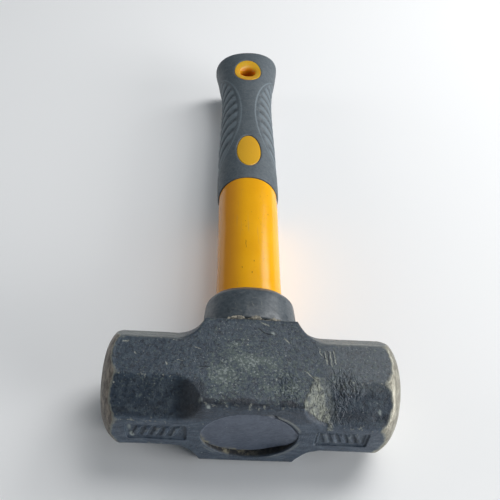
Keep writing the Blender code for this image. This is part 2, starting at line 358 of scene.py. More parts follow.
def end_stretch(x, phi):
    """The right-hand face stands slightly out of square."""
    lean = 0.50 + 0.55 * np.cos(phi - 0.7)
    return lean * ease(36.0, 50.0, x)


def head_stations():
    inner = [
        np.arange(0.0, 16.8, 0.52),
        np.arange(16.8, 20.4, 0.19),
        np.arange(20.4, 28.0, 0.40),
        np.arange(28.0, 46.0, 0.56),
    ]
    depth = np.linspace(0, 5.65, 400)
    radius = smooth_curve(FACE[:, 0], FACE[:, 1], depth)
    run = np.concatenate([[0], np.cumsum(np.hypot(np.diff(depth), np.diff(radius)))])
    rim = HALF_LENGTH - np.interp(np.linspace(run[-1], 0, 34), run, depth)
    half = np.concatenate(inner + [rim])
    return np.concatenate([-half[:0:-1], half])


def patch(x, y, cx, cy, rx, ry):
    return np.exp(-(((x - cx) / rx) ** 2) - ((y - cy) / ry) ** 2)


def puckered(x, y, z):
    """Where the paint has puckered: by the right-hand scoop and on the block's shoulder."""
    where = np.maximum(patch(x, y, 31.0, -7.8, 4.2, 3.6), 0.7 * patch(x, y, 29.5, -13, 2.2, 3.5))
    return np.maximum(where, 0.8 * patch(x, y, 12, -10.5, 3.4, 5.0)) * (z > 5)


def head():
    xs = head_stations()
    x, ph = np.meshgrid(xs, around(HEAD_SIDES), indexing="ij")
    rough = forged_radius(x, ph)
    turned = turned_radius(x, ph)
    r = -soft_max(-rough, -turned, 0.35)
    p = np.stack([x, r * np.cos(ph), r * np.sin(ph)], -1)
    made = ease(0.1, 0.9, turned - rough)
    hollow = 0.5 + 0.5 * fractal(p, 13.0, 3, 2)
    dents = ease(0.35, 0.8, noise(p, 4.2, 5)) * 0.10 + ease(0.5, 0.9, noise(p, 2.0, 8)) * 0.05
    grain = 0.5 + 0.5 * noise(p, 1.3, 9)
    pucker = np.abs(noise(p * (1.0, 0.6, 1.0), 1.9, 11)) + 0.5 * np.abs(noise(p, 1.0, 12))
    scale = noise(p * (0.22, 1.0, 1.0), 1.5, 13) * ease(-12, -17, p[..., 1])
    sink = 0.16 * hollow + dents + 0.035 * grain + 0.30 * pucker * puckered(*np.moveaxis(p, -1, 0))
    r = r - made * (sink + 0.05 * scale)
    rows = np.stack([x + end_stretch(x, ph), r * np.cos(ph), r * np.sin(ph)], -1)
    caps = []
    for end in (0, -1):
        fade = np.linspace(1, 0.04, 14)[1:, None]
        hub = rows[end].mean(0)
        caps.append(np.stack([hub + (rows[end] - hub) * f for f in fade]))
    rows = np.concatenate([caps[0][::-1], rows, caps[1]])
    ob = solid("head_forged", rows)
    angle = around(160)
    ey = np.linspace(EYE[0, 0], EYE[-1, 0], 60)[:, None]
    hx, hz = eye_section(ey)
    notch = 1 + 0.09 * np.exp(-(((angle - 1.13) / 0.08) ** 2)) * ease(-16, -18, ey)
    ring = [notch * hx * np.cos(angle), ey + 0 * angle, notch * hz * np.sin(angle)]
    cutters = [solid("eye_cut", np.stack(ring, -1))]
    for middle, hx_, hz_, z0 in PANELS:
        levels = []
        for y, grow in ((-20.2, 0.35), (-19.0, 0.2), (-18.75, 0.0), (-17.7, 0.0)):
            x_, z_ = box_outline(hx_ + grow, hz_ + grow, 0.9)
            levels.append(np.stack([middle + x_, y + 0 * x_, z0 + z_], -1))
        cutters.append(solid("panel_cut", levels))
    return carve(ob, cutters)


def box_outline(hx, hz, radius):
    """Rectangle with rounded corners."""
    angle = around(48) + np.pi / 48
    x = np.sign(np.cos(angle)) * (hx - radius) + radius * np.cos(angle)
    z = np.sign(np.sin(angle)) * (hz - radius) + radius * np.sin(angle)
    return x, z


def bar(u, v, middle, lean, half_width, half_height):
    """Signed distance to a slanted bar."""
    return np.maximum(np.abs(u - middle - lean * v) - half_width, np.abs(v) - half_height)


def marked_panel(name, panel, seed):
    """Sunken field with a row of five plain raised bars, all alike."""
    middle, hx, hz, z0 = panel
    u, v = np.meshgrid(
        np.linspace(-hx - 0.1, hx + 0.1, 150), np.linspace(-hz - 0.1, hz + 0.1, 66), indexing="ij"
    )
    p = np.stack([u + middle, 0 * u, v + z0], -1)
    lean = -0.35 * np.sign(middle)
    shapes = [bar(u, v, k * hx, lean, 0.72, 0.58 * hz) for k in BARS]
    raised = 0.0
    for shape in shapes:
        soft = shape + 0.18 * noise(p, 1.5, seed)
        raised = np.maximum(raised, ease(0.45, -0.35, soft))
    field = 0.86 + 0.10 * noise(p, 3.0, seed + 1) + 0.04 * noise(p, 1.1, seed + 2)
    edge = np.minimum(hx - np.abs(u), hz - np.abs(v))
    field = field - 0.25 * ease(0.9, 0.0, edge)
    if middle > 0:
        field = field - 0.40 * np.exp(-(((edge - 0.85) / 0.32) ** 2))
    depth = field - raised * (0.64 + 0.10 * noise(p, 2.2, seed + 3))
    top = np.stack([u + middle, -HALF + depth, v + z0], -1)
    base = top.copy()
    base[..., 1] = -17.5
    n, m = u.shape
    index = np.arange(n * m).reshape(n, m)
    a, b, c, d = index[:-1, :-1], index[:-1, 1:], index[1:, 1:], index[1:, :-1]
    face = np.stack([a, d, c, b], -1).reshape(-1, 4)
    rim = np.concatenate([index[0, :-1], index[:-1, -1], index[-1, :0:-1], index[:0:-1, 0]])
    nxt = np.roll(rim, -1)
    wall = np.stack([rim, rim + n * m, nxt + n * m, nxt], -1)
    faces = np.concatenate([face, face[:, ::-1] + n * m, wall])
    points = np.concatenate([top.reshape(-1, 3), base.reshape(-1, 3)])
    ob = mesh_object(name, points, faces.tolist())
    worn_and_sheen = raised * ease(-0.2, 0.6, noise(p, 1.3, seed + 4))
    chip = 0.0
    if middle < 0:
        chip = ease(1.1, 0.5, np.hypot((u + 8.2) / 1.1, (v + 2.6) / 1.6))
        chip = np.maximum(chip, 0.6 * ease(1.2, 0.2, np.hypot((u + 9.0) / 0.7, (v - 2.0) / 2.2)))
    for attribute, value in (("wear_and_sheen", 0.25 * worn_and_sheen), ("chip", chip + 0 * u)):
        paint(ob, attribute, np.concatenate([value.ravel(), 0 * value.ravel()]))
    plain = dict(rim=-4.0, edge=5.0, dust=0.08, pit=0, powder=0, crinkle=0, shade=0)
    for attribute, value in plain.items():
        paint(ob, attribute, np.full(2 * n * m, value))
    return ob


def head_masks(ob):
    p = coordinates(ob)
    x, y, z = p.T
    r, phi = np.hypot(y, z), np.arctan2(z, y)
    x = x - end_stretch(x, phi)
    rough = forged_radius(x, phi)
    turned = turned_radius(x, phi)
    rim = np.where(np.abs(x) > 43.0, np.clip(rough - turned, -4, 4), -4.0)
    paint(ob, "rim", rim)
    fold = np.abs((phi + np.pi / 4) % (np.pi / 2) - np.pi / 4)
    flat = np.abs(r * np.cos(fold) - r * np.cos(np.pi / 4 - fold)) * 0.75
    block = np.abs(r * np.cos(fold) - np.abs(r * np.sin(fold))) * 0.5
    edge = np.where(np.abs(x) > 27.0, flat, np.where(np.abs(x) < 17.5, block, 5.0))
    paint(ob, "edge", np.clip(edge, 0, 5))
    eye_x, eye_z = eye_section(y)
    inside = np.hypot(x / eye_x, z / eye_z) < 1.10
    # the mouth of the eye, which head_material paints in shade
    paint(ob, "pit", inside * ease(-18.9, -18.2, y))
    up = ease(8.0, 17.5, z)

    def blob(*where):
        return patch(x, y, *where)

    dust = 0.95 * blob(-10, -9, 4.0, 7.5) + 0.85 * blob(-1, -1.5, 5.5, 2.8)
    dust = dust + 0.65 * blob(-6.5, 5, 3.0, 3.5) + 0.55 * blob(11, -12, 6.0, 4.0)
    dust = dust + 0.40 * blob(3, -3, 19, 12) + 0.35 * blob(-34.5, -11.5, 5.5, 4.0)
    dust = dust * up * (0.75 + 0.5 * fractal(p, 3.0, 32, 3, 0.6))
    dust = dust + 0.16 * ease(16.5, 18.2, z) * ease(-30, -8, x)
    paint(ob, "dust", np.clip(dust, 0, 1))
    slope = (-y - z) / math.sqrt(2)
    near = np.interp(slope, [-8, -6.7, -2, 0, 5, 6.3], [20.4, 19.6, 17.0, 16.8, 22.4, 26.0])
    far = np.interp(slope, [-8, -4.4, 0, 6.3], [22.3, 24.2, 25.2, 27.2])
    wander = 0.5 * noise(p, 1.6, 31)
    powder = ease(near - 0.5, near + 0.5, x + wander) * ease(far + 1.0, far - 0.8, x + wander)
    haze = 0.30 * ease(far - 0.5, far, x) * ease(far + 3.5, far + 1.5, x)
    powder = np.maximum(powder, haze * ease(6.5, 3.0, slope)) * (y < -6.0) * (z > 6)
    paint(ob, "powder", np.clip(powder, 0, 1))
    paint(ob, "crinkle", np.maximum(puckered(x, y, z), 0.55 * np.clip(powder, 0, 1)))
    # painted shade: the left-hand poll is painted darker, most of all in its scoop
    shade = 0.30 * ease(-20, -24, x) + 0.85 * ease(-27.5, -21.5, x) * ease(-14.8, -17.0, x)
    shade = shade * (y < -5.0) * (z > 4.5) * ease(7.5, 5.5, np.abs(slope))
    paint(ob, "shade", np.clip(shade, 0, 1))
    chip = np.zeros(len(p))
    for cx, cy, cz, size in (
        (43.2, -14.6, 12.1, 0.7),
        (42.4, -12.6, 14.1, 0.3),
        (-17.3, -16.8, 18.6, 0.9),
        (-14.5, -18.6, 17.5, 0.8),
        (7.6, 11.4, 19.0, 0.6),
    ):
        away = np.linalg.norm(p - (cx, cy, cz), axis=1) / size + 0.5 * noise(p, 0.9, 37)
        chip = np.maximum(chip, ease(1.1, 0.6, away))
    paint(ob, "chip", chip)
    # painted sheen on the upper corner facets at the back of both polls and over the top of the
    # right-hand poll, and a painted highlight on the upper right of the eye's rim, with rubbed
    # paint round its lower side; these share one mask with the wear
    sheen = ease(6.5, 9.0, y) * ease(6.0, 9.0, z) * ease(21.0, 27.0, np.abs(x))
    worn_and_sheen = 0.75 * sheen * (0.7 + 0.4 * noise(p * (0.3, 1, 1), 1.2, 38))
    worn_and_sheen = worn_and_sheen + 0.12 * ease(22, 28, x) * ease(15.5, 17.5, z)
    mouth, turn = np.hypot(x / eye_x, z / eye_z), np.degrees(np.arctan2(z / eye_z, x / eye_x))
    lip = ease(12, 25, turn) * ease(80, 60, turn) + 0.7 * ease(-75, -55, turn) * ease(-5, -20, turn)
    lip = lip + 0.8 * ease(-165, -155, turn) * ease(-105, -125, turn) * (0.5 + noise(p, 0.9, 39))
    lip = lip * np.exp(-(((mouth - 1.05) / 0.024) ** 2)) * (y < -18.4)
    paint(ob, "wear_and_sheen", np.clip(worn_and_sheen + 0.75 * lip, 0, 1))


# ------------------------ eye resin


def resin_depth(x, z):
    """The potting is level with the mouth at the top and has sunk lower down."""
    at = np.array([-18, -13, -9, -3, 3, 8, 11.5, 14, 18.0])
    sunk = smooth_curve(at, np.array([0.3, 0.8, 1.3, 1.75, 2.0, 2.1, 1.8, 1.2, 0.7]), x)
    ripple = 0.07 * noise(np.stack([x, 0 * x, z], -1), 6.0, 61)
    return 0.32 + sunk * ease(8.0, -12.0, z) + ripple


def resin():
    angle = around(144)
    rows = []
    for share in np.concatenate([np.linspace(0.03, 0.93, 34), np.linspace(0.945, 1.0, 8)]):
        y = -17.5 + 0 * angle
        for _ in range(6):
            hx, hz = eye_section(y)
            x = share * (hx - EYE_GAP) * np.cos(angle)
            z = share * (hz - EYE_GAP) * np.sin(angle)
            climb = 0.35 * ease(0.93, 1.0, share) ** 2 * ease(-4, 4, z)
            gap = 0.9 * ease(0.95, 0.98, share) * ease(0.15, 0.4, angle) * ease(1.3, 1.0, angle)
            gap = gap + 0.3 * ease(0.93, 1.0, share) ** 2 * ease(-2, -9, z)
            y = -HALF + np.maximum(resin_depth(x, z) - climb + gap, 0.12)
        rows.append(np.stack([x, y, z], -1))
    for y in (-14.0, -10.0, -4.0, 2.0, 8.0, 14.0, 19.0):
        hx, hz = eye_section(y)
        x, z = (hx - EYE_GAP) * np.cos(angle), (hz - EYE_GAP) * np.sin(angle)
        rows.append(np.stack([x, y + 0 * angle, z], -1))
    return solid("eye_resin_cast", rows)


def squeeze_out():
    """Ragged line of resin and grit pressed out between head and collar."""
    ox, oz = oval(around(560))
    line = np.stack([18.6 * ox, 0 * ox, 16.2 * oz], -1)
    swell = 0.5 + 0.5 * fractal(line, 3.6, 71, 3, 0.6)
    lumps = ((-11.5, 0.5), (-8.6, 0.8), (-5.8, 0.6), (0.4, 0.75), (10.4, 0.7), (5.0, -0.6))
    for middle, tall in lumps:
        lump = patch(line[:, 0], 0, middle, 0, 1.7, 1) * (line[:, 2] > 0)
        swell = swell + tall * lump * (0.6 + 0.5 * noise(line, 1.2, 73))
    rise = 0.38 + 1.05 * ease(0.25, 0.85, swell)
    out = 0.22 + 0.85 * ease(0.15, 0.95, 0.5 + 0.5 * fractal(line, 2.6, 74, 4, 0.6))
    rows = []
    for k, a in enumerate(around(18)):
        rag = 0.12 * noise(line + (0, 0.6 * k, 0), 0.8, 77)
        grow = (out + 0.5) * math.cos(a) + rag
        y = 19.25 + rise * (0.75 + math.sin(a)) + rag
        rows.append(np.stack([(18.2 + grow) * ox, y + 0 * ox, (15.9 + grow) * oz], -1))
    return solid("squeeze_out", rows, joined=True)


# ------------------------ collar, jacket, grip


def collar():
    sides = 300
    outer = loft_rows(COLLAR, 70, sides)
    p = outer.copy()
    lumps = 0.10 * fractal(p, 9.0, 81, 2) + 0.03 * noise(p, 2.2, 82)
    low = ease(25.0, 21.0, p[..., 1])
    lumps = lumps + 0.25 * low * noise(p, 3.4, 83)
    shrink = 1 + lumps / 17.0
    outer = np.stack([p[..., 0] * shrink, p[..., 1], p[..., 2] * shrink], -1)
    ox, oz = oval(around(sides))
    bore = []
    for y, dip in ((40.0, 2.4), (24.0, 0.0), (20.5, 0.0)):
        bore.append(np.stack([14.15 * ox, y - dip * oz**2, 12.15 * oz], -1))
    return solid("collar_sleeve", np.concatenate([outer, bore]), joined=True)


def shaft():
    rows = loft_rows(SHAFT, 210, 260)
    x, y, z = np.moveaxis(rows, -1, 0)
    seam = 0.07 * np.exp(-((z / 0.35) ** 2))
    sink = 0.05 * fractal(rows * (1, 0.25, 1), 9.0, 91, 2)
    grow = 1 + (seam + sink) / 14.0
    rows = np.stack([x * grow, y, z * grow], -1)
    return solid("handle_shaft", rows)


def grip_section(y):
    """Half width and half height of the grip above its rounded lower edge."""
    g = GRIP[3:]
    y = np.clip(y, g[0, 0], g[-1, 0])
    return smooth_curve(g[:, 0], g[:, 1], y), smooth_curve(g[:, 0], g[:, 2], y)


def grip_height(x, y):
    """Height of the grip's upper surface over the handle's axis."""
    hx, hz = grip_section(y)
    return hz * np.maximum(1 - np.abs(x / hx) ** POWER, 0) ** (1 / POWER)


def grip_relief(rows):
    """(outward relief, how deep in a groove as painted shade) of the ribbed side fields.

    The second is painted shade above zero in the grooves, and painted highlight below zero on the
    crests and along the border.
    """
    n, m = rows.shape[:2]
    y, side = rows[..., 1], np.sign(rows[..., 0])
    step = np.hypot(*np.moveaxis(np.diff(rows[:, : m // 4 + 1, ::2], axis=1), -1, 0))
    arc = np.concatenate([np.zeros((n, 1)), np.cumsum(step, axis=1)], axis=1)
    turn = np.arange(m) % (m // 2)
    s = arc[:, np.minimum(turn, m // 2 - turn)]
    away = y - RIB_MIDDLE
    reach = np.where(away > 0, 51.0, 47.0)
    width = 17.8 + 0.8 * side
    border = width * np.clip(1 - (away / reach) ** 2, 0, 1) ** 0.6
    inside = border - s
    step = 0.40 * ease(-0.1, 0.55, inside) * ease(1.5, 6.0, border)
    field = ease(0.4, 3.0, inside) * ease(2.0, 7.0, border)
    u = (y - 0.95 * (s - 8.0) + 0.022 * (s - 8.0) ** 2 - RIB_FIRST) / RIB_PITCH
    k = np.clip(np.round(u), 0, RIB_LAST)
    du = (u - k) * RIB_PITCH
    width = 1.05 + 0.5 * ease(12.5, 16.5, s)
    groove = np.exp(-np.abs(du / width) ** 2.2) * field * ease(0.0, 1.2, s)
    groove = groove * ease(0.6, 4.0, inside)
    crest = 0.5 * (1 - np.cos(np.clip(np.abs(u - np.round(u)) * 2, 0, 1) * np.pi)) * field
    # painted highlight along the window border, brighter on the right-hand side
    line = np.exp(-((inside / 0.45) ** 2)) * ease(1.5, 6.0, border)
    line = (0.5 + 0.3 * side) * line
    return 0.30 * crest - step - 0.75 * groove, groove - 0.8 * crest - line


def window_distance(x, y, window):
    centre, hx, hy = window
    m = np.hypot(x / hx, (y - centre) / hy)
    return (m - 1) * (hx + (hy - hx) * ((y - centre) / hy / np.maximum(m, 0.2)) ** 2)


def grip():
    rows = loft_rows(GRIP, *GRIP_GRID)
    relief, _ = grip_relief(rows)
    x, y, z = np.moveaxis(rows, -1, 0)
    for window in (PAD, EYELET):
        d = window_distance(x, y, window)
        relief = relief - 0.38 * (1 - np.clip(d / 0.9, 0, 1)) ** 2 * (np.abs(z) > 6)
    hx, hz = grip_section(y)
    nx = np.sign(x) * np.abs(x / hx) ** (POWER - 1) / hx
    nz = np.sign(z) * np.abs(z / hz) ** (POWER - 1) / hz
    size = np.hypot(nx, nz) + 1e-9
    sink = 0.04 * fractal(rows, 11.0, 95, 2)
    live = ease(110.0, 114.0, y) * ease(244.5, 242.0, y)
    push = relief * live + sink
    rows = np.stack([x + push * nx / size, y, z + push * nz / size], -1)
    ox, oz = oval(around(GRIP_GRID[1]))
    bore = []
    for by, dip, grow in ((236.0, 0, -1.5), (232.0, 0, 0.0), (130.0, 0, 0.2), (108.1, -ARCH, 0.2)):
        bore.append(np.stack([(13.3 + grow) * ox, by - dip * oz**2, (10.7 + grow) * oz], -1))
    ob = solid("grip_overmould", np.concatenate([bore, rows]))
    cutters = []
    angle = around(120)
    for centre, wx, wy in (PAD, EYELET):
        loop = [(wx + 0.12) * np.cos(angle), centre + (wy + 0.12) * np.sin(angle)]
        levels = [np.stack([*loop, 0 * angle + h], -1) for h in (-19.0, 19.0)]
        cutters.append(solid("window_cut", levels))
    return carve(ob, cutters)


def pad(name, side):
    """Yellow oval that stands in the grip's window, level with its skin."""
    centre, hx, hy = PAD
    angle = around(120)
    rows = []
    for share in np.concatenate([np.linspace(0.04, 0.90, 24), np.linspace(0.92, 1.0, 8)]):
        x, y = share * hx * np.cos(angle), centre + share * hy * np.sin(angle)
        drop = 0.22 + 0.30 * ease(0.93, 1.0, share) ** 2 - 0.12 * (1 - share**2)
        rows.append(np.stack([x, y, side * (grip_height(x, y) - drop)], -1))
    rim = rows[-1]
    base = rim.copy()
    base[:, 2] = side * 9.0
    rows += [rim * 0.5 + base * 0.5, base]
    return solid(name, rows)


def eyelet():
    """Dished lining of the hang hole, from one side of the grip to the other."""
    centre, hx, hy = EYELET
    tx, ty = THROAT
    angle = around(140)
    half = table(  # (share of the way out to the rim, depth under the grip's skin)
        (1.00, 3.2), (1.00, 0.60), (0.992, 0.34), (0.972, 0.18), (0.945, 0.14),
        (0.90, 0.18), (0.80, 0.34), (0.66, 0.60), (0.50, 0.90), (0.34, 1.22),
        (0.20, 1.60), (0.10, 2.05), (0.04, 2.6), (0.01, 3.3), (0.0, 4.4),
        (0.0, 7.0), (0.0, 10.0), (0.0, 12.6),
    )
    t = np.arange(len(half), dtype=float)
    at = np.linspace(0, len(half) - 1, 60)
    share, drop = (smooth_curve(t, half[:, k], at) for k in range(2))
    rows = []
    for side, order in ((1, range(60)), (-1, range(59, -1, -1))):
        for k in order:
            wx, wy = tx + share[k] * (hx - tx), ty + share[k] * (hy - ty)
            x, y = wx * np.cos(angle), centre + wy * np.sin(angle)
            z = np.maximum(grip_height(x, y) - drop[k], 0.4)
            rows.append(np.stack([x, y, side * z], -1))
    return solid("eyelet", rows, joined=True)


# ------------------------ materials


class Nodes:
    """Small helper that adds and links shader nodes."""

    def __init__(self, name):
        self.material = bpy.data.materials.new(name)
        self.material.use_nodes = True
        self.tree = self.material.node_tree
        self.shader = self.tree.nodes["Principled BSDF"]
        self.where = self.add("ShaderNodeTexCoord").outputs["Object"]

    def add(self, kind, **settings):
        node = self.tree.nodes.new(kind)
        for key, value in settings.items():
            setattr(node, key, value)
        return node

    def feed(self, socket, value):
        if isinstance(value, bpy.types.NodeSocket):
            self.tree.links.new(value, socket)
        elif isinstance(value, tuple) and len(value) == 3 and socket.type == "RGBA":
            socket.default_value = (*value, 1.0)
        else:
            socket.default_value = value

    def fill(self, node, **inputs):
        for key, value in inputs.items():
            self.feed(node.inputs[key.replace("_", " ")], value)

    def position(self):
        node = self.add("ShaderNodeSeparateXYZ")
        self.feed(node.inputs[0], self.where)
        return tuple(node.outputs)

    def noise(self, scale, detail=3.0, rough=0.55, stretch=None, distortion=0.0, shift=None):
        node = self.add("ShaderNodeTexNoise")
        where = self.where
        if stretch is not None or shift is not None:
            where = self.stretched(stretch or (1.0, 1.0, 1.0), shift or (0.0, 0.0, 0.0))
        self.fill(node, Vector=where, Scale=scale, Detail=detail)
        self.fill(node, Roughness=rough, Distortion=distortion)
        return node.outputs["Fac"]

    def stretched(self, scale, shift):
        node = self.add("ShaderNodeMapping")
        self.fill(node, Vector=self.where, Scale=scale, Location=shift)
        return node.outputs["Vector"]

    def cells(self, scale):
        node = self.add("ShaderNodeTexVoronoi")
        self.fill(node, Vector=self.where, Scale=scale)
        return node.outputs["Distance"]

    def attribute(self, name):
        return self.add("ShaderNodeAttribute", attribute_name=name).outputs["Fac"]

    def math(self, operation, a, b=0.0, c=0.0):
        node = self.add("ShaderNodeMath", operation=operation)
        for socket, value in zip(node.inputs, (a, b, c)):
            self.feed(socket, value)
        return node.outputs[0]

    def times(self, a, b):
        return self.math("MULTIPLY", a, b)

    def plus(self, a, b):
        return self.math("ADD", a, b)

    def span(self, value, low, high, out_low=0.0, out_high=1.0):
        node = self.add("ShaderNodeMapRange", interpolation_type="SMOOTHSTEP")
        self.fill(node, Value=value, From_Min=low, From_Max=high, To_Min=out_low, To_Max=out_high)
        return node.outputs["Result"]

    def mix(self, factor, a, b):
        node = self.add("ShaderNodeMix", data_type="RGBA")
        self.feed(node.inputs[0], factor)
        self.feed(node.inputs[6], a)
        self.feed(node.inputs[7], b)
        return node.outputs[2]

    def blend(self, factor, a, b):
        node = self.add("ShaderNodeMix", data_type="FLOAT")
        self.feed(node.inputs[0], factor)
        self.feed(node.inputs[2], a)
        self.feed(node.inputs[3], b)
        return node.outputs[0]

    def bump(self, height, distance, strength=1.0, base=None):
        node = self.add("ShaderNodeBump")
        self.fill(node, Height=height, Distance=distance * MM, Strength=strength)
        if base is not None:
            self.feed(node.inputs["Normal"], base)
        return node.outputs["Normal"]

    def finish(self, **inputs):
        for key, value in inputs.items():
            label = key.replace("_", " ").title().replace("Ior", "IOR")
            self.feed(self.shader.inputs[label], value)
        return self.material

    def stroke(self, start, end, width, seed):
        """Mask of a scrape on the upper cheek, from start to end in millimetres."""
        run = Vector(end) - Vector(start)
        along = run.normalized()
        across = Vector((-along.y, along.x))
        t, s = (
            self.dot((d.x / MM, d.y / MM, 0.0), -d.dot(Vector(start))) for d in (along, across)
        )
        wave = self.noise(650, 2, 0.5, shift=(seed, 0.0, 0.0))
        s = self.plus(s, self.math("MULTIPLY_ADD", wave, 0.7, -0.35))
        body = self.span(self.math("ABSOLUTE", s), width, 0.35 * width)
        tail = self.span(t, run.length + 0.3, run.length - 0.5)
        return self.times(body, self.times(self.span(t, -0.3, 0.5), tail))

    def dot(self, vector, offset):
        node = self.add("ShaderNodeVectorMath", operation="DOT_PRODUCT")
        self.feed(node.inputs[0], self.where)
        node.inputs[1].default_value = vector
        return self.plus(node.outputs["Value"], offset)

    def largest(self, masks):
        total = masks[0]
        for mask in masks[1:]:
            total = self.math("MAXIMUM", total, mask)
        return total


# marks as (start, end, half width), with (X, Y) ends, seen from above
SCRAPES = (  # on the upper cheek
    ((24.0, 5.5), (23.6, 3.7), 0.34),
    ((23.6, 3.9), (24.6, 2.2), 0.30),
    ((25.5, 4.5), (25.8, -0.9), 0.32),
    ((27.2, 4.8), (27.4, -1.8), 0.32),
    ((28.5, 4.9), (28.9, -0.7), 0.38),
    ((3.3, 16.4), (6.3, 14.8), 0.45),
    ((11.5, 9.4), (13.2, 7.3), 0.38),
    ((17.9, -3.9), (21.7, -8.0), 0.34),
    ((-29.4, -2.6), (-28.8, -4.0), 0.48),
    ((-25.8, -1.7), (-23.6, -2.0), 0.20),
    ((-20.1, 4.2), (-17.8, 3.3), 0.28),
    ((-45.2, 5.2), (-43.0, 5.5), 0.50),
    ((-40.6, 0.9), (-40.0, 0.0), 0.36),
    ((-27.8, 6.9), (-26.4, 6.6), 0.32),
)
SCUFFS = (  # on the collar
    ((0.4, 31.2), (3.6, 30.7), 0.30),
    ((0.2, 29.6), (0.9, 26.4), 0.34),
    ((3.8, 29.9), (4.2, 27.0), 0.28),
    ((1.0, 25.6), (4.3, 24.9), 0.30),
    ((-7.6, 26.0), (-5.0, 25.2), 0.24),
    ((-5.2, 25.3), (-3.4, 23.4), 0.22),
    ((-6.5, 33.0), (-2.0, 34.2), 0.30),
)
SPECKS = (  # on the yellow jacket
    ((-1.6, 67.8), (-1.5, 62.9), 0.13),
    ((-1.5, 76.9), (-1.5, 76.1), 0.22),
    ((-1.7, 80.4), (-1.7, 79.8), 0.20),
    ((8.7, 87.5), (8.8, 86.7), 0.24),
    ((1.8, 55.5), (1.9, 54.6), 0.24),
    ((-3.2, 51.7), (-3.1, 50.9), 0.26),
    ((0.9, 48.9), (0.9, 47.9), 0.30),
    ((13.8, 107.0), (13.8, 103.4), 0.40),
    ((13.7, 101.2), (13.7, 98.9), 0.28),
)
GOUGES = (  # on the upper cheek
    ((-18.4, -4.0), (-14.6, -3.9), 0.20),
    ((2.1, 13.7), (4.6, 11.2), 0.24),
    ((4.4, 11.2), (7.4, 10.8), 0.26),
    ((26.4, 4.7), (26.6, -1.5), 0.20),
    ((27.9, 4.7), (28.2, -1.0), 0.20),
    ((24.9, 3.8), (25.1, 1.6), 0.22),
)


